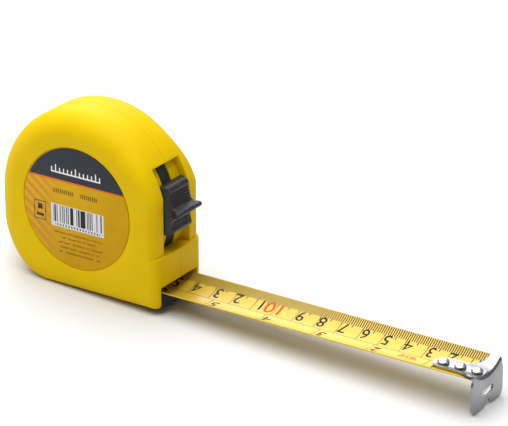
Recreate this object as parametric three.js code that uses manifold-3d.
// A pocket tape measure: two-shell case, sprung reel, curved steel blade with a
// riveted hook, arc-travel thumb lock, belt clip and wrist strap.
// Units are millimetres. +X points out of the mouth along the blade, +Z is up, and
// -Y is the labelled side. The origin is on the case's flat base, under the reel axis.
import * as THREE from "three";
import { mergeVertices } from "three/addons/utils/BufferGeometryUtils.js";
import Module from "manifold-3d";

const wasm = await Module();
wasm.setup();

// ---- driving dimensions -------------------------------------------------------------
const FIT = 0.3; // gap between pieces that touch or seat
const RUN = 0.7; // gap beside pieces that move past each other

const BLADE_WIDE = 26; // measured along the curve
const BLADE_R = 18.9; // underside radius of the blade's hollow section
const BLADE_THICK = 0.25;
const BLADE_LOW_Z = 2.6; // underside of the blade at its middle
const BLADE_OUT = 143; // front wall to the inner face of the hook
const BLADE_END = 44; // stiff end stretch that carries the hook
const BLADE_IN_X = -5; // where the straight run leaves the coil

const WALL = 2.2;
const SIDE_ROOM = 1.55; // beside the wound blade, for each flange and its gaps
const CASE_R = 40.3; // crown and back of the case, about the reel axis
const AXIS_DROP = 4.3; // the reel axis stands lower than the crown's radius by this
const FRONT_BACK = 0.3; // front wall behind the crown circle's foremost point
const HEEL_X = -15.8; // centre of the round lower back corner
const TOE_R = 2; // round lower front corner
const FLOOR = 1.2; // the base's own wall
const CROWN_EDGE = 9.5; // rounding between the crown and the two faces
const FRONT_EDGE = 4.2;
const BASE_EDGE = 3.5;
const SEAM_Y = 0.6; // parting plane of the two shells

const LEDGE_DROP = 13.9; // lower end of the lock's recess, under the reel axis
const LEDGE_STEP = 1.1; // how far the front wall steps back above the ledge
const RECESS_DEEP = 3.4; // under the crown
const RECESS_SIDE = 0.7; // recess beyond each side of the lock button
const MOUTH_SIDE = 0.75; // mouth beyond each edge of the blade
const MOUTH_OVER = 2.1; // mouth over the blade's edges
const INSERT_LONG = 8; // black guide under the blade, along X

const HOOK_THICK = 1;
const HOOK_OVER = 0.1; // plate beyond each edge of the blade
const HOOK_DROP_Z = -9.1; // tip of the hook's plate
const HOOK_CORNER_R = 3.6;
const HOOK_SLOT_Z = -2; // the oblong hole that a nail head catches in
const HOOK_SLOT_HALF = 3.4;
const HOOK_SLOT_R = 1.1;
const TONGUE_WIDE = 8.6;
const TONGUE_LONG = 23;
const TONGUE_FLARE = 8; // length over which it widens to the plate
const HOOK_PLAY = 0.8; // travel each way that cancels the hook's own thickness
const RIVET_R = 1.2;
const RIVET_HEAD_R = 2.4;
const RIVET_HEAD_HIGH = 1.2;
const RIVET_TAIL = 0.45; // its flattened end under the blade
const RIVET_TAIL_R = 2;
const RIVET_PITCH = 7.5;
const RIVET_BACK = 3.8; // front rivet behind the plate

const DRUM_R = 16.5;
const DRUM_WALL = 1.5;
const COIL_OVER = 1.41; // wound blade over the straight run's edges
const FLANGE_OVER = 1.5; // flanges beyond the wound blade
const FLANGE_THICK = 0.7;
const ARBOR_R = 3.5;
const SPRING_THICK = 0.35;
const SPRING_TURNS = 4;

const LOCK_WIDE = 16.8;
const LOCK_TOP_WIDE = 13.8;
const LOCK_MID_DEG = 7; // middle of the button about the reel axis, locked
const LOCK_TRAVEL_DEG = 10.5; // up the recess, to unlock
const STRIP_WIDE = 6;
const STRIP_THICK = 1.4;
const STRIP_OVER = 0.5; // brake end of the strip over the rivets' path
const STRIP_PAST_DEG = 6.5; // its upper end beyond the recess

const CLIP_WIDE = 21;
const CLIP_THICK = 0.7;
const CLIP_FOLD_RISE = 12.5; // fold at the top of the clip, over the reel axis
const CLIP_FOLD_OUT = 7.3; // outer face of the fold over the case's face
const CLIP_TOUCH_DROP = 13.5; // where the leg comes back to the case, under the axis
const CLIP_LIP_DROP = 20.5;
const CLIP_LIP_OUT = 2.4; // lip's stand from the case
const CLIP_LIP_R = 16; // round of the lip, seen from the clip side
const CLIP_HOLE_RISE = 3.8; // middle of the leg's oblong hole, over the axis
const CLIP_HOLE_HALF = 3.2; // between the middle and each end's centre
const CLIP_HOLE_R = 4;
const POCKET_DEEP = 1.2;
const POCKET_SIDE = 1.3; // pocket beyond each side of the clip
const POCKET_DROP = 15; // its lower end under the axis
const POCKET_RISE = 18;

const SCREW_R = 1.3;
const SCREW_HEAD_R = 3;
const SCREW_HEAD_HIGH = 1.5;
const SCREW_LONG = 26.2; // the two that hold the shells together
const FRONT_SCREW_DEG = -33.9; // direction from the reel axis
const REAR_SCREW_DEG = 249.6; // direction from the heel's centre
const REAR_SCREW_IN = 9.6; // from the heel's outline
const BOSS_R = 3.2;
const BOSS_OFF = 0.25; // front boss outside the brake strip

const LABEL_IN = 13.9; // edge of the label inside the crown's outline
const LABEL_THICK = 0.4;
const LABEL_DEEP = 0.8;

const STRAP_WIDE = 7;
const STRAP_THICK = 1;
const STRAP_Z = 9;
const STRAP_Y = 7.9; // middle of the strap's exit
const STRAP_APART = 3.8; // between its two strands in the exit
const STRAP_DROOP = 0.03; // slope of the loop towards the clip side
const STRAP_PIN_X = -28; // inner ends of the strands
const FERRULE_X = -44.6; // its far end
const FERRULE_LONG = 6;
const FERRULE_WALL = 0.6;
const LAP = 0.2; // how far moulded parts of one piece run into each other

// ---- derived places -----------------------------------------------------------------
const rad = THREE.MathUtils.degToRad;
const deg = THREE.MathUtils.radToDeg;

const AXIS_Z = CASE_R - AXIS_DROP; // reel axis over the base
const FRONT_X = CASE_R - FRONT_BACK; // front wall ahead of the reel axis
const HEEL_R = CASE_R + HEEL_X;
const HOOK_X = FRONT_X + BLADE_OUT;
const BLADE_MID_Z = BLADE_LOW_Z + BLADE_R; // centre of the blade's curve
const BLADE_TOP_R = BLADE_R - BLADE_THICK;
const BLADE_SPREAD = BLADE_WIDE / 2 / BLADE_R; // half the angle of its section
const BLADE_EDGE_Y = BLADE_R * Math.sin(BLADE_SPREAD);
const BLADE_EDGE_Z = BLADE_MID_Z - BLADE_TOP_R * Math.cos(BLADE_SPREAD);
const REEL_Y = BLADE_WIDE / 2 - 0.1; // half the width of the drum, between its flanges
const INNER_Y = BLADE_WIDE / 2 + SIDE_ROOM;
const FACE_Y = INNER_Y + WALL; // label face and clip face, each side of the middle
const COIL_R = AXIS_Z - BLADE_EDGE_Z - COIL_OVER;
const FLANGE_R = COIL_R + FLANGE_OVER;
const RIVET_HEAD_Z = BLADE_LOW_Z + BLADE_THICK + HOOK_THICK + 2 * FIT; // under the head
const RIVET_TOP_Z = RIVET_HEAD_Z + RIVET_HEAD_HIGH;

const LEDGE_Z = AXIS_Z - LEDGE_DROP;
const MOUTH_HALF = BLADE_EDGE_Y + MOUTH_SIDE;
const MOUTH_TOP_Z = BLADE_EDGE_Z + MOUTH_OVER;
const RECESS_FLOOR_R = CASE_R - RECESS_DEEP; // about the reel axis
const RECESS_HALF = LOCK_WIDE / 2 + RECESS_SIDE;
const LOCK_MEAN_R = RECESS_FLOOR_R + 2; // radius that lengths along the button go by
const LOCK_HALF_LONG = 10.3;
const RECESS_LOW_DEG = -deg(Math.asin((LEDGE_DROP + LAP) / RECESS_FLOOR_R));
const RECESS_TOP_DEG =
  LOCK_MID_DEG + LOCK_TRAVEL_DEG + deg(LOCK_HALF_LONG / LOCK_MEAN_R) + deg(RUN / LOCK_MEAN_R);
const STRIP_LOW_DEG = -deg(Math.asin((AXIS_Z - RIVET_TOP_Z - STRIP_OVER) / RECESS_FLOOR_R));
const STRIP_HIGH_DEG = RECESS_TOP_DEG + STRIP_PAST_DEG;

const CLIP_FOLD_Z = AXIS_Z + CLIP_FOLD_RISE;
const CLIP_TOUCH_Z = AXIS_Z - CLIP_TOUCH_DROP;
const CLIP_LIP_Z = AXIS_Z - CLIP_LIP_DROP;
const CLIP_HOLE_Z = AXIS_Z + CLIP_HOLE_RISE;
const POCKET_LOW_Z = AXIS_Z - POCKET_DROP;
const POCKET_HIGH_Z = AXIS_Z + POCKET_RISE;
const LABEL_R = CASE_R - LABEL_IN;

// A place in (x, z) at a distance from a centre, in a direction in degrees.
function reach([x, z], r, angle) {
  return [x + r * Math.cos(rad(angle)), z + r * Math.sin(rad(angle))];
}

const AXIS = [0, AXIS_Z];
const FRONT_SCREW = reach(AXIS, RECESS_FLOOR_R + BOSS_R + BOSS_OFF, FRONT_SCREW_DEG);
const REAR_SCREW = reach([HEEL_X, HEEL_R], HEEL_R - REAR_SCREW_IN, REAR_SCREW_DEG);

// ---- mesh helpers -------------------------------------------------------------------

// A closed geometry as a manifold-3d solid, whichever way its faces were wound.
function solid(geometry) {
  geometry.deleteAttribute("normal");
  geometry.deleteAttribute("uv");
  const merged = mergeVertices(geometry, 1e-4);
  const triVerts = new Uint32Array(merged.index.array);
  const vertProperties = merged.attributes.position.array;
  const made = new wasm.Manifold(new wasm.Mesh({ numProp: 3, vertProperties, triVerts }));
  if (made.volume() > 0) return made;
  for (let i = 0; i < triVerts.length; i += 3) {
    [triVerts[i + 1], triVerts[i + 2]] = [triVerts[i + 2], triVerts[i + 1]];
  }
  return new wasm.Manifold(new wasm.Mesh({ numProp: 3, vertProperties, triVerts }));
}

function geometryOf(made) {
  const m = made.getMesh();
  const xyz = new Float32Array(m.numVert * 3);
  for (let i = 0; i < m.numVert; i++) {
    xyz.set(m.vertProperties.subarray(i * m.numProp, i * m.numProp + 3), i * 3);
  }
  return new THREE.BufferGeometry()
    .setAttribute("position", new THREE.BufferAttribute(xyz, 3))
    .setIndex(new THREE.BufferAttribute(new Uint32Array(m.triVerts), 1))
    .toNonIndexed();
}

function prism(points, depth) {
  const shape = new THREE.Shape(points.map(([u, v]) => new THREE.Vector2(u, v)));
  return new THREE.ExtrudeGeometry(shape, { depth, bevelEnabled: false, steps: 1 });
}

// Outlines in (x, z) between two y, in (y, z) between two x, and in (x, y) between two z.
function prismY(points, y0, y1) {
  return solid(prism(points, y1 - y0).rotateX(Math.PI / 2).translate(0, y1, 0));
}

function prismX(points, x0, x1) {
  const turn = new THREE.Matrix4().set(0, 0, 1, x0, 1, 0, 0, 0, 0, 1, 0, 0, 0, 0, 0, 1);
  return solid(prism(points, x1 - x0).applyMatrix4(turn));
}

function prismZ(points, z0, z1) {
  return solid(prism(points, z1 - z0).translate(0, 0, z0));
}

function box(x0, x1, y0, y1, z0, z1) {
  const g = new THREE.BoxGeometry(x1 - x0, y1 - y0, z1 - z0);
  return solid(g.translate((x0 + x1) / 2, (y0 + y1) / 2, (z0 + z1) / 2));
}

// A body turned about the Y direction through (x, z); profile points are [radius, y].
function turned(profile, x, z, sides = 28) {
  const points = profile.map(([r, y]) => new THREE.Vector2(r, y));
  return solid(new THREE.LatheGeometry(points, sides).translate(x, 0, z));
}

function ring(r0, r1, y0, y1, x, z, sides) {
  return turned([[r0, y0], [r1, y0], [r1, y1], [r0, y1], [r0, y0]], x, z, sides);
}

function disc(r, y0, y1, x, z, sides) {
  return turned([[0, y0], [r, y0], [r, y1], [0, y1]], x, z, sides);
}

function arc(cx, cz, r, fromDeg, toDeg, steps) {
  const at = (i) => fromDeg + ((toDeg - fromDeg) * i) / steps;
  return Array.from({ length: steps + 1 }, (_, i) => reach([cx, cz], r, at(i)));
}

// The stretch between two radii about the reel axis, as an outline in (x, z).
function band(r0, r1, fromDeg, toDeg, steps) {
  const outer = arc(0, AXIS_Z, r1, fromDeg, toDeg, steps);
  return outer.concat(arc(0, AXIS_Z, r0, fromDeg, toDeg, steps).reverse());
}

// A closed skin through rings of equally many points, with flat ends.
function loft(rings) {
  const count = rings[0].length;
  const xyz = rings.flat(2);
  const index = [];
  for (let k = 0; k + 1 < rings.length; k++) {
    for (let i = 0; i < count; i++) {
      const j = (i + 1) % count;
      const [a, b, c, d] = [k * count + i, k * count + j, (k + 1) * count + j, (k + 1) * count + i];
      index.push(a, b, c, a, c, d);
    }
  }
  const last = (rings.length - 1) * count;
  for (const [points, base, way] of [[rings[0], 0, -1], [rings.at(-1), last, 1]]) {
    const flat = points.map(([x, , z]) => new THREE.Vector2(x, z));
    const turn = way * Math.sign(THREE.ShapeUtils.area(flat));
    for (const [a, b, c] of THREE.ShapeUtils.triangulateShape(flat, [])) {
      const same = turn * THREE.ShapeUtils.area([flat[a], flat[b], flat[c]]) > 0;
      index.push(...(same ? [a, b, c] : [a, c, b]).map((i) => base + i));
    }
  }
  const g = new THREE.BufferGeometry();
  g.setAttribute("position", new THREE.Float32BufferAttribute(xyz, 3));
  g.setIndex(index);
  return solid(g);
}

// A sheet curved like the blade between two radii, with its half width given at each x.
function hollowSheet(stations, outerR, innerR, across) {
  const rows = stations.map(([x, half]) => {
    const row = [];
    for (const r of [outerR, innerR]) {
      for (let i = 0; i <= across; i++) {
        const t = ((2 * i) / across - 1) * (half / outerR) * (r === outerR ? 1 : -1);
        row.push([x, r * Math.sin(t), BLADE_MID_Z - r * Math.cos(t)]);
      }
    }
    return row;
  });
  const count = rows[0].length;
  const index = [];
  for (let k = 0; k + 1 < rows.length; k++) {
    for (let i = 0; i < count; i++) {
      const j = (i + 1) % count;
      const [a, b, c, d] = [k * count + i, k * count + j, (k + 1) * count + j, (k + 1) * count + i];
      index.push(a, b, c, a, c, d);
    }
  }
  for (const [base, turn] of [[0, 1], [(rows.length - 1) * count, -1]]) {
    for (let i = 0; i < across; i++) {
      const quad = [base + i, base + count - 1 - i, base + count - 2 - i, base + i + 1];
      const [a, b, c, d] = turn > 0 ? quad : quad.reverse();
      index.push(a, b, c, a, c, d);
    }
  }
  const g = new THREE.BufferGeometry();
  g.setAttribute("position", new THREE.Float32BufferAttribute(rows.flat(2), 3));
  g.setIndex(index);
  return solid(g);
}

// ---- materials ----------------------------------------------------------------------
function paint(color, roughness, metalness = 0) {
  return new THREE.MeshStandardMaterial({ color, roughness, metalness });
}

const yellowPlastic = paint(0xe8c70c, 0.42);
const blackPlastic = paint(0x26262b, 0.5);
const palePlastic = paint(0xd9d6cc, 0.5);
const printedSteel = paint(0xe9c34a, 0.35, 0.2);
const brightSteel = paint(0xc9cacc, 0.25, 1);
const blueSteel = paint(0x59606b, 0.35, 1);
const webbing = paint(0x1d1d1f, 0.9);
const sticker = paint(0xf0a51c, 0.45);

const group = new THREE.Group();
group.name = "tape_measure";

function place(name, made, material) {
  const mesh = new THREE.Mesh(geometryOf(made), material);
  mesh.name = name;
  group.add(mesh);
}

// ---- case outline -------------------------------------------------------------------
// Each point holds x, z, its outward normal, and the rounding towards the faces there.
function caseOutline() {
  const list = [];
  const add = (x, z, facing, edge, toe = 0) => {
    list.push({ x, z, nx: Math.cos(rad(facing)), nz: Math.sin(rad(facing)), edge, toe });
  };
  const stepX = FRONT_X - LEDGE_STEP;
  add(FRONT_X, TOE_R, 0, FRONT_EDGE, 1);
  add(FRONT_X, LEDGE_Z - 6, 0, FRONT_EDGE);
  add(FRONT_X, LEDGE_Z, 0, FRONT_EDGE);
  add(stepX, LEDGE_Z + FIT, 0, FRONT_EDGE);
  add(stepX, LEDGE_Z + 8, 0, FRONT_EDGE);
  const startDeg = deg(Math.acos(stepX / CASE_R));
  const crownSteps = 30;
  for (let i = 0; i <= crownSteps; i++) {
    const facing = startDeg + ((180 - startDeg) * i) / crownSteps;
    const grown = THREE.MathUtils.smoothstep(facing, startDeg, startDeg + 40);
    const edge = FRONT_EDGE + (CROWN_EDGE - FRONT_EDGE) * grown;
    add(...reach(AXIS, CASE_R, facing), facing, edge);
  }
  const heelSteps = 12;
  for (let i = 0; i <= heelSteps; i++) {
    const facing = 180 + (90 * i) / heelSteps;
    const shrunk = THREE.MathUtils.smoothstep(facing, 200, 270);
    const edge = CROWN_EDGE + (BASE_EDGE - CROWN_EDGE) * shrunk;
    add(...reach([HEEL_X, HEEL_R], HEEL_R, facing), facing, edge);
  }
  add(FRONT_X - TOE_R, 0, 270, BASE_EDGE, 3);
  add(FRONT_X - TOE_R * 0.3, TOE_R * 0.3, 315, FRONT_EDGE, 2);
  return list;
}

const OUTLINE = caseOutline();

// How far an edge's rounding has come in at a depth under the face.
function roundIn(edge, skin, depth) {
  const r = Math.max(edge - skin, 1);
  return depth < r ? r - Math.sqrt(r * r - (r - depth) ** 2) : 0;
}

// The outline at a depth under the face, moved in by the skin's thickness. The toe is a
// tight corner, so its points stop short of where the front and the base have moved to.
function caseRing(y, depth, skin, floor) {
  const frontX = FRONT_X - skin - roundIn(FRONT_EDGE, skin, depth);
  const baseZ = floor + roundIn(BASE_EDGE, skin, depth);
  return OUTLINE.map(({ x, z, nx, nz, edge, toe }) => {
    const inset = skin * nx * nx + (nz < 0 ? floor : skin) * nz * nz + roundIn(edge, skin, depth);
    const [px, pz] = [x - nx * inset, z - nz * inset];
    if (!toe) return [px, y, pz];
    return [Math.min(px, frontX - 0.04 * (toe - 1)), y, Math.max(pz, baseZ + 0.04 * (3 - toe))];
  });
}

// Half of the case on the side of sign, solid, with its face at faceY.
function halfCase(sign, faceY, fromY, skin, floor) {
  const depths = [0, 0.35, 1.2, 2.6, 4.6, 7, CROWN_EDGE];
  const rings = depths.map((d) => caseRing(sign * (faceY - d), d, skin, floor));
  rings.push(caseRing(fromY, CROWN_EDGE, skin, floor));
  return loft(rings);
}

// ---- the two shells -----------------------------------------------------------------
const RECESS_PAN = 1.9; // thickness under the recess's floor
const CUT = 6; // how far cutting tools stand outside the case
const SOCKET_R = 6;
const SOCKET_HIGH = 0.6; // arbor sockets stand off the inner faces by this much

function recessCut() {
  const sector = band(RECESS_FLOOR_R, CASE_R + CUT, RECESS_LOW_DEG - CUT, RECESS_TOP_DEG, 14);
  const under = box(0, CASE_R + 2 * CUT, -RECESS_HALF - CUT, RECESS_HALF + CUT, -CUT, LEDGE_Z);
  return prismY(sector, -RECESS_HALF, RECESS_HALF).subtract(under);
}

function recessPan() {
  const half = RECESS_HALF + WALL - FIT;
  const [inside, outside] = [RECESS_FLOOR_R - RECESS_PAN, CASE_R - WALL / 2];
  return prismY(band(inside, outside, RECESS_LOW_DEG, RECESS_TOP_DEG + 4, 12), -half, half);
}

function stripSlot() {
  const half = STRIP_WIDE / 2 + FIT;
  const [inside, outside] = [RECESS_FLOOR_R - RECESS_PAN - LAP, RECESS_FLOOR_R + LAP];
  const [low, high] = [RECESS_LOW_DEG - CUT, STRIP_HIGH_DEG + LOCK_TRAVEL_DEG];
  return prismY(band(inside, outside, low, high, 12), -half, half);
}

function mouthCut() {
  const backX = FRONT_X - INSERT_LONG - FIT;
  return box(backX, FRONT_X + CUT, -MOUTH_HALF, MOUTH_HALF, -CUT, MOUTH_TOP_Z);
}

// A shell before its own cuts: hollow, with the recess, the slot and the mouth.
function shellBody(sign) {
  const seam = sign < 0 ? SEAM_Y : SEAM_Y + FIT;
  const outer = halfCase(sign, FACE_Y, seam, 0, 0);
  const hollow = halfCase(sign, INNER_Y, seam - sign * WALL, WALL, FLOOR);
  const pan = recessPan().intersect(outer);
  const shell = outer.subtract(hollow).add(pan);
  return shell.subtract(recessCut()).subtract(stripSlot()).subtract(mouthCut());
}

// Screw bosses run from the label-side shell to the other shell's boss.
function boss([x, z], y0, y1) {
  return disc(BOSS_R, y0, y1, x, z, 14);
}

const labelFloorY = -FACE_Y + LABEL_DEEP;

let labelShell = shellBody(-1);
for (const spot of [FRONT_SCREW, REAR_SCREW]) {
  labelShell = labelShell.add(boss(spot, -INNER_Y - LAP, SEAM_Y));
}
const headSeatY = FACE_Y - SCREW_HEAD_HIGH;
const tipY = headSeatY + FIT - SCREW_LONG;
const holeR = SCREW_R + FIT;
labelShell = labelShell
  .add(disc(SOCKET_R, -INNER_Y - LAP, -INNER_Y + SOCKET_HIGH, ...AXIS, 20))
  .subtract(disc(ARBOR_R + FIT, -INNER_Y, 0, ...AXIS, 20))
  .subtract(disc(LABEL_R, -FACE_Y - CUT, labelFloorY, ...AXIS, 48))
  .subtract(mouthCut());
for (const spot of [FRONT_SCREW, REAR_SCREW]) {
  labelShell = labelShell.subtract(disc(holeR, tipY - RUN, SEAM_Y + CUT, ...spot, 12));
}
place("shell_label_side", labelShell, yellowPlastic);

const pocketFloorY = FACE_Y - POCKET_DEEP;
const pocketHalf = CLIP_WIDE / 2 + POCKET_SIDE;
let clipShell = shellBody(1);
for (const spot of [FRONT_SCREW, REAR_SCREW]) {
  clipShell = clipShell.add(boss(spot, SEAM_Y + FIT, INNER_Y + LAP));
}
clipShell = clipShell
  .add(disc(SOCKET_R, INNER_Y - SOCKET_HIGH, INNER_Y + LAP, ...AXIS, 20))
  .subtract(mouthCut())
  .subtract(disc(ARBOR_R + FIT, 0, INNER_Y, ...AXIS, 20));
for (const spot of [FRONT_SCREW, REAR_SCREW]) {
  clipShell = clipShell
    .subtract(disc(holeR, 0, FACE_Y, ...spot, 12))
    .subtract(disc(SCREW_HEAD_R + FIT, headSeatY, FACE_Y + CUT, ...spot, 16));
}
const strapHalfY = STRAP_APART / 2 + STRAP_THICK / 2 + FIT;
const strapHalfZ = STRAP_WIDE / 2 + FIT;
const slotInX = STRAP_PIN_X + 1.5;
const strapY = [STRAP_Y - strapHalfY, STRAP_Y + strapHalfY];
const strapZ = [STRAP_Z - strapHalfZ, STRAP_Z + strapHalfZ];
clipShell = clipShell
  .subtract(box(-pocketHalf, pocketHalf, pocketFloorY, FACE_Y + CUT, POCKET_LOW_Z, POCKET_HIGH_Z))
  .subtract(disc(holeR, 0, FACE_Y, ...AXIS, 12))
  .subtract(box(-CASE_R - CUT, slotInX, ...strapY, ...strapZ));
place("shell_clip_side", clipShell, yellowPlastic);

// ---- label: a round sticker sunk in its face ------------------------------------------
place(
  "label",
  disc(LABEL_R - FIT, labelFloorY - FIT - LABEL_THICK, labelFloorY - FIT, 0, AXIS_Z, 48),
  sticker,
);

// ---- mouth insert: the black guide that the blade slides over --------------------------
const insertHalf = MOUTH_HALF - FIT;
const guideR = BLADE_R + FIT;
const guideSpan = deg(Math.asin(insertHalf / guideR));
const guideTop = arc(0, BLADE_MID_Z, guideR, 270 + guideSpan, 270 - guideSpan, 14);
const guide = [[-insertHalf, 0], [insertHalf, 0], ...guideTop];
const tailWay = RIVET_HEAD_R + RUN;
const tailWayZ = BLADE_LOW_Z - FIT - RIVET_TAIL - FIT;
const insert = prismX(guide, FRONT_X - INSERT_LONG, FRONT_X + LAP).subtract(
  box(0, FRONT_X + CUT, -tailWay, tailWay, tailWayZ, BLADE_MID_Z),
);
place("mouth_insert", insert, blackPlastic);

// ---- reel: drum, spring cover, two flanges and the coiled blade -------------------------
const bore = ARBOR_R + FIT;
const drum = turned(
  [
    [bore, -REEL_Y], [DRUM_R, -REEL_Y], [DRUM_R, REEL_Y], [DRUM_R - DRUM_WALL, REEL_Y],
    [DRUM_R - DRUM_WALL, -REEL_Y + DRUM_WALL], [bore, -REEL_Y + DRUM_WALL], [bore, -REEL_Y],
  ],
  ...AXIS, 36,
);
place("reel_drum", drum, palePlastic);
const coverY = REEL_Y - DRUM_WALL;
place("spring_cover", ring(bore, DRUM_R - DRUM_WALL - FIT, coverY, REEL_Y, ...AXIS, 32), palePlastic);
for (const [name, sign] of [["reel_flange_label_side", -1], ["reel_flange_clip_side", 1]]) {
  const low = REEL_Y + FIT / 2;
  const [y0, y1] = [sign * low, sign * (low + FLANGE_THICK)].sort((a, b) => a - b);
  place(name, ring(SOCKET_R + RUN, FLANGE_R, y0, y1, ...AXIS, 40), palePlastic);
}
const coilY = REEL_Y - FIT;
place("tape_coil", ring(DRUM_R + FIT, COIL_R, -coilY, coilY, ...AXIS, 44), printedSteel);

// ---- arbor and power spring ------------------------------------------------------------
const arborY = INNER_Y - FIT;
place(
  "arbor",
  turned(
    [[0, -arborY], [ARBOR_R, -arborY], [ARBOR_R, arborY], [holeR, arborY], [holeR, 0], [0, 0]],
    ...AXIS, 20,
  ),
  brightSteel,
);

function spiral(r0, r1, turns, thick) {
  const steps = turns * 22;
  const at = (i, out) => reach(AXIS, r0 + ((r1 - r0) * i) / steps + out, (360 * turns * i) / steps);
  const line = (out) => Array.from({ length: steps + 1 }, (_, i) => at(i, out));
  return line(thick).concat(line(0).reverse());
}
const springY = coverY - DRUM_WALL / 2;
const springOut = DRUM_R - DRUM_WALL - RUN - SPRING_THICK;
place(
  "power_spring",
  prismY(spiral(ARBOR_R + RUN, springOut, SPRING_TURNS, SPRING_THICK), -springY + FIT, springY),
  blueSteel,
);

// ---- blade: a run that shortens as it winds in, and the stiff end ------------------------
const bladeHalf = BLADE_WIDE / 2;
const splitX = HOOK_X - BLADE_END;
const bladeEndX = HOOK_X - HOOK_PLAY - FIT;
place(
  "blade_run",
  hollowSheet([[BLADE_IN_X, bladeHalf], [splitX - FIT, bladeHalf]], BLADE_R, BLADE_TOP_R, 16),
  printedSteel,
);
const rivetXs = [0, 1, 2].map((i) => HOOK_X - RIVET_BACK - i * RIVET_PITCH);
let bladeEnd = hollowSheet([[splitX, bladeHalf], [bladeEndX, bladeHalf]], BLADE_R, BLADE_TOP_R, 16);

function upright(r, x, z0, z1, sides = 12) {
  const g = new THREE.CylinderGeometry(r, r, z1 - z0, sides).rotateX(Math.PI / 2);
  return solid(g.translate(x, 0, (z0 + z1) / 2));
}
for (const x of rivetXs) {
  bladeEnd = bladeEnd.subtract(upright(RIVET_R + FIT / 2, x, 0, RIVET_TOP_Z));
}
place("blade_end", bladeEnd, printedSteel);

// ---- hook: a curved tongue riveted inside the blade's hollow, and a turned-down plate ----
const tongueOutR = BLADE_TOP_R - FIT;
const tongueInR = tongueOutR - HOOK_THICK;
const tongueStations = [];
const tongueRound = TONGUE_WIDE / 2;
for (const turn of [12, 35, 60, 90].map(rad)) {
  const x = HOOK_X - TONGUE_LONG + tongueRound * (1 - Math.cos(turn));
  tongueStations.push([x, tongueRound * Math.sin(turn)]);
}
const plateHalf = BLADE_EDGE_Y + HOOK_OVER;
const flareSteps = 7;
for (let i = 0; i <= flareSteps; i++) {
  const turn = rad((90 * i) / flareSteps);
  const x = HOOK_X - TONGUE_FLARE * (1 - Math.sin(turn));
  tongueStations.push([x, plateHalf - (plateHalf - tongueRound) * Math.cos(turn)]);
}
tongueStations.push([HOOK_X + HOOK_THICK, plateHalf]);
let tongue = hollowSheet(tongueStations, tongueOutR, tongueInR, 14);
for (const x of rivetXs) {
  const r = RIVET_R + FIT;
  const [back, front] = [x - HOOK_PLAY, x + HOOK_PLAY];
  const ends = upright(r, back, 0, RIVET_TOP_Z).add(upright(r, front, 0, RIVET_TOP_Z));
  tongue = tongue.subtract(ends.add(box(back, front, -r, r, 0, RIVET_TOP_Z)));
}
const plateSpan = deg(plateHalf / tongueOutR);
const plateTop = arc(0, BLADE_MID_Z, (tongueInR + tongueOutR) / 2, 270 + plateSpan, 270 - plateSpan, 14);
const [cornerR, lowZ] = [HOOK_CORNER_R, HOOK_DROP_Z];
// The nick in the lower edge steadies the hook on a nail, and lies off the middle.
const nick = [[-2.8, 0], [-1.6, 1.3], [-0.2, 2.8], [1.4, 2.8], [2.6, 0.7], [4.4, 0.3]];
const plateLine = [
  ...plateTop,
  ...arc(-plateHalf + cornerR, lowZ + cornerR, cornerR, 180, 270, 5),
  ...nick.map(([y, up]) => [y, lowZ + up]),
  ...arc(plateHalf - cornerR, lowZ + cornerR, cornerR, 270, 360, 5),
];
const plateSlot = [
  ...arc(HOOK_SLOT_HALF, HOOK_SLOT_Z, HOOK_SLOT_R, -90, 90, 5),
  ...arc(-HOOK_SLOT_HALF, HOOK_SLOT_Z, HOOK_SLOT_R, 90, 270, 5),
];
const hook = prismX(plateLine, HOOK_X, HOOK_X + HOOK_THICK)
  .subtract(prismX(plateSlot, HOOK_X - LAP, HOOK_X + HOOK_THICK + LAP))
  .add(tongue);
place("hook", hook, brightSteel);

rivetXs.forEach((x, i) => {
  const [under, over, dome] = [BLADE_LOW_Z - FIT, RIVET_HEAD_Z, RIVET_HEAD_HIGH];
  const profile = [
    [0, under - RIVET_TAIL], [RIVET_TAIL_R, under - RIVET_TAIL], [RIVET_TAIL_R, under],
    [RIVET_R, under], [RIVET_R, over], [RIVET_HEAD_R, over], [RIVET_HEAD_R, over + dome * 0.45],
    [RIVET_HEAD_R * 0.75, over + dome * 0.85], [RIVET_HEAD_R * 0.35, over + dome], [0, over + dome],
  ].map(([r, z]) => new THREE.Vector2(r, z));
  const g = new THREE.LatheGeometry(profile, 16).rotateX(Math.PI / 2).translate(x, 0, 0);
  place("rivet_" + (i + 1), solid(g), brightSteel);
});

// ---- thumb lock: a button on a curved brake strip, both turning about the reel axis -------
// Points along the button are [arc length from its middle, height over the recess floor].
const LOCK_SIDE = [
  [-10.2, FIT], [-10.2, 3.4], [-9.4, 4.9], [-8.2, 5.1], [-7.2, 4.4], [-5.2, 4.1], [-3.4, 5],
  [-2.3, 6.8], [-1.7, 8.7], [-0.9, 9.3], [-0.1, 8.8], [0.4, 7.2], [1.2, 5.6], [6.2, 5.4],
  [7.4, 5.8], [8.8, 5.4], [9.9, 4], [LOCK_HALF_LONG, FIT],
  ...[8, 5.5, 3, 0.5, -2, -4.5, -7].map((s) => [s, FIT]),
];
const midRad = rad(LOCK_MID_DEG);
const lockOutline = LOCK_SIDE.map(([s, h]) => (
  reach(AXIS, RECESS_FLOOR_R + h, LOCK_MID_DEG + deg(s / LOCK_MEAN_R))
));
const [lockHalf, lockTop] = [LOCK_WIDE / 2, LOCK_TOP_WIDE / 2];
const flankLow = RECESS_FLOOR_R + 1.6;
const flankHigh = RECESS_FLOOR_R + 5;
const [rootR, tipR] = [RECESS_FLOOR_R - CUT, RECESS_FLOOR_R + 2 * CUT];
const flankSide = [
  [-lockHalf, rootR], [lockHalf, rootR], [lockHalf, flankLow], [lockTop, flankHigh], [lockTop, tipR],
  [-lockTop, tipR], [-lockTop, flankHigh], [-lockHalf, flankLow],
];
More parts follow.
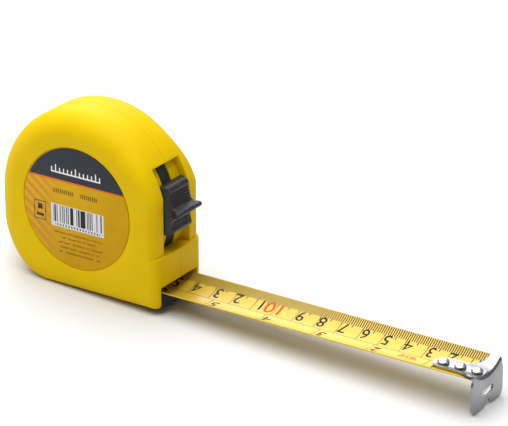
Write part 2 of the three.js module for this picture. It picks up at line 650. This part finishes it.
const flanks = prismZ(flankSide, -1.5 * LOCK_HALF_LONG, 1.5 * LOCK_HALF_LONG);
const toSlope = new THREE.Matrix4()
  .makeTranslation(0, 0, AXIS_Z)
  .multiply(new THREE.Matrix4().makeRotationY(-midRad))
  .multiply(new THREE.Matrix4().set(0, 1, 0, 0, 1, 0, 0, 0, 0, 0, 1, 0, 0, 0, 0, 1));
const slopedFlanks = solid(geometryOf(flanks).applyMatrix4(toSlope));
const lockButton = prismY(lockOutline, -lockHalf, lockHalf).intersect(slopedFlanks);
place("lock_button", lockButton, blackPlastic);

const stripIn = RECESS_FLOOR_R - STRIP_THICK;
const stripLine = band(stripIn, RECESS_FLOOR_R, STRIP_LOW_DEG, STRIP_HIGH_DEG, 22);
place("lock_strip", prismY(stripLine, -STRIP_WIDE / 2, STRIP_WIDE / 2), blackPlastic);

// ---- belt clip: base plate in its pocket, fold, and sprung leg ----------------------------
const clipHalf = CLIP_WIDE / 2;
const clipBackY = pocketFloorY + FIT;
const foldR = (FACE_Y + CLIP_FOLD_OUT - clipBackY) / 2;
const foldY = clipBackY + foldR;
const baseLow = POCKET_LOW_Z + 3;
const clipBase = box(-clipHalf, clipHalf, clipBackY, clipBackY + CLIP_THICK, baseLow, CLIP_FOLD_Z)
  .subtract(disc(holeR, 0, FACE_Y, ...AXIS, 12));
place("clip_base", clipBase, brightSteel);

const foldOuter = arc(foldY, CLIP_FOLD_Z + FIT, foldR, 180, 0, 10);
const foldInner = arc(foldY, CLIP_FOLD_Z + FIT, foldR - CLIP_THICK, 0, 180, 10);
place("clip_fold", prismX(foldOuter.concat(foldInner), -clipHalf, clipHalf), brightSteel);

const legTopY = foldY + foldR;
const touchY = FACE_Y + FIT;
const lipOutY = touchY + CLIP_LIP_OUT;
// The strip's inner face from the fold to the lip, and its outer face a thickness further.
const legInner = [
  [legTopY - CLIP_THICK, CLIP_FOLD_Z], [legTopY - CLIP_THICK - 0.3, CLIP_FOLD_Z - 2],
  [touchY + 0.1, CLIP_TOUCH_Z + 1], [touchY, CLIP_TOUCH_Z - 1], [lipOutY, CLIP_LIP_Z],
];
const legOuter = legInner.map(([y, z]) => [y + CLIP_THICK, z]);
const legLine = legOuter.concat(legInner.reverse());
const lipRound = arc(0, CLIP_LIP_Z + CLIP_LIP_R, CLIP_LIP_R, 180, 360, 40)
  .filter(([x]) => Math.abs(x) <= clipHalf);
const legFace = [[clipHalf, CLIP_FOLD_Z + 1], [-clipHalf, CLIP_FOLD_Z + 1], ...lipRound];
const legHole = [
  ...arc(0, CLIP_HOLE_Z + CLIP_HOLE_HALF, CLIP_HOLE_R, 0, 180, 8),
  ...arc(0, CLIP_HOLE_Z - CLIP_HOLE_HALF, CLIP_HOLE_R, 180, 360, 8),
];
const clipLeg = prismX(legLine, -clipHalf, clipHalf)
  .intersect(prismY(legFace, INNER_Y, legTopY + CUT))
  .subtract(prismY(legHole, INNER_Y, legTopY + CUT));
place("clip_leg", clipLeg, brightSteel);

// ---- screws ---------------------------------------------------------------------------
function screw(name, [x, z], underHeadY, endY) {
  const high = SCREW_HEAD_HIGH - FIT;
  const profile = [
    [0, endY], [SCREW_R, endY + 1], [SCREW_R, underHeadY], [SCREW_HEAD_R, underHeadY],
    [SCREW_HEAD_R, underHeadY + high * 0.55], [SCREW_HEAD_R * 0.6, underHeadY + high],
    [0, underHeadY + high],
  ];
  place(name, turned(profile, x, z, 16), brightSteel);
}
screw("screw_front", FRONT_SCREW, headSeatY + FIT, tipY);
screw("screw_rear", REAR_SCREW, headSeatY + FIT, tipY);
screw("screw_centre", AXIS, clipBackY + CLIP_THICK + FIT, 2);

// ---- wrist strap: one flat strand out, round and back, held by a pin in the case ----------
const strandY = STRAP_APART / 2;
const strapRoute = [
  [STRAP_PIN_X, STRAP_Y - strandY],
  [-38, STRAP_Y - strandY],
  [-45, STRAP_Y - strandY],
  [-49.5, 7.4],
  [-52.6, 12],
  [-53.4, 20],
  [-52.6, 32],
  [-50.8, 46],
  [-47.5, 60],
  [-42.5, 69],
  [-36.5, 69.5],
  [-33.5, 62],
  [-36.2, 48],
  [-41, 35],
  [-45.2, 24],
  [-48.6, 16],
  [-48, 11.6],
  [-45.4, STRAP_Y + strandY],
  [-38, STRAP_Y + strandY],
  [STRAP_PIN_X, STRAP_Y + strandY],
].map(([x, y]) => new THREE.Vector3(x, y, STRAP_Z - STRAP_DROOP * (y - STRAP_Y)));
const strapPath = new THREE.CatmullRomCurve3(strapRoute, false, "centripetal");
const [sw, st] = [STRAP_WIDE / 2, STRAP_THICK / 2];
const strapSection = new THREE.Shape(
  [
    [-sw, -st * 0.4], [-sw + 0.5, -st], [sw - 0.5, -st], [sw, -st * 0.4],
    [sw, st * 0.4], [sw - 0.5, st], [-sw + 0.5, st], [-sw, st * 0.4],
  ].map(([u, v]) => new THREE.Vector2(u, v)),
);
const strapGeometry = new THREE.ExtrudeGeometry(strapSection, {
  steps: 64, extrudePath: strapPath, bevelEnabled: false,
});
place("strap", solid(strapGeometry), webbing);

const ferrule = box(
  FERRULE_X, FERRULE_X + FERRULE_LONG,
  strapY[0] - FERRULE_WALL, strapY[1] + FERRULE_WALL,
  strapZ[0] - FERRULE_WALL, strapZ[1] + FERRULE_WALL,
).subtract(box(FERRULE_X - CUT, FERRULE_X + FERRULE_LONG + CUT, ...strapY, ...strapZ));
place("strap_ferrule", ferrule, blackPlastic);

const strapPinR = STRAP_APART / 2 - STRAP_THICK / 2 - FIT;
const strapPin = new THREE.CylinderGeometry(strapPinR, strapPinR, STRAP_WIDE + 2, 12)
  .rotateX(Math.PI / 2)
  .translate(STRAP_PIN_X + 2, STRAP_Y, STRAP_Z);
place("strap_pin", solid(strapPin), brightSteel);

export default group;
